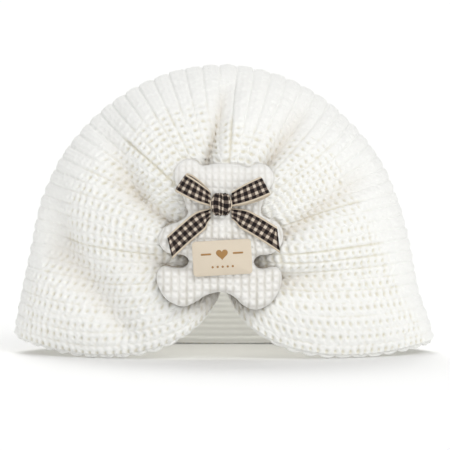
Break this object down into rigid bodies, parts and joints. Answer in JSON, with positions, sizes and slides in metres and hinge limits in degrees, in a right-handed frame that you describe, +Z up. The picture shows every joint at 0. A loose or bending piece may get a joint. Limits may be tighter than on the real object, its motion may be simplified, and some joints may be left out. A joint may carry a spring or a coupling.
{
  "type": "turban hat",
  "caption": "Baby's rib-knit turban hat gathered at the middle of its front, with a padded bear patch, a gingham bow and a small leather tag; its hollow goes over the head.",
  "frame": {"origin": "middle of the bounding box at the surface that the hem stands on", "axes": "+X to the viewer's right across the hat's width, -Y out of the front with the bear patch, +Z up to the crown"},
  "size_m": [0.1858, 0.111, 0.1273],
  "materials": {
    "rib_knit": "off-white soft wool-like yarn in a chunky half-cardigan rib",
    "waffle_cloth": "white waffle-channelled cloth over wadding",
    "gingham_ribbon": "woven ribbon in black-brown and beige gingham with beige selvedges",
    "tag_leather": "pale beige fine-grained leather with a golden-brown printed motif"
  },
  "bodies": {
    "root": {"knit_shell": "rib_knit", "bear_patch": "waffle_cloth", "bow_knot": "gingham_ribbon", "bow_loop_left": "gingham_ribbon", "bow_loop_right": "gingham_ribbon", "bow_tail_left": "gingham_ribbon", "bow_tail_right": "gingham_ribbon", "tag": "tag_leather"}
  },
  "joints": []
}
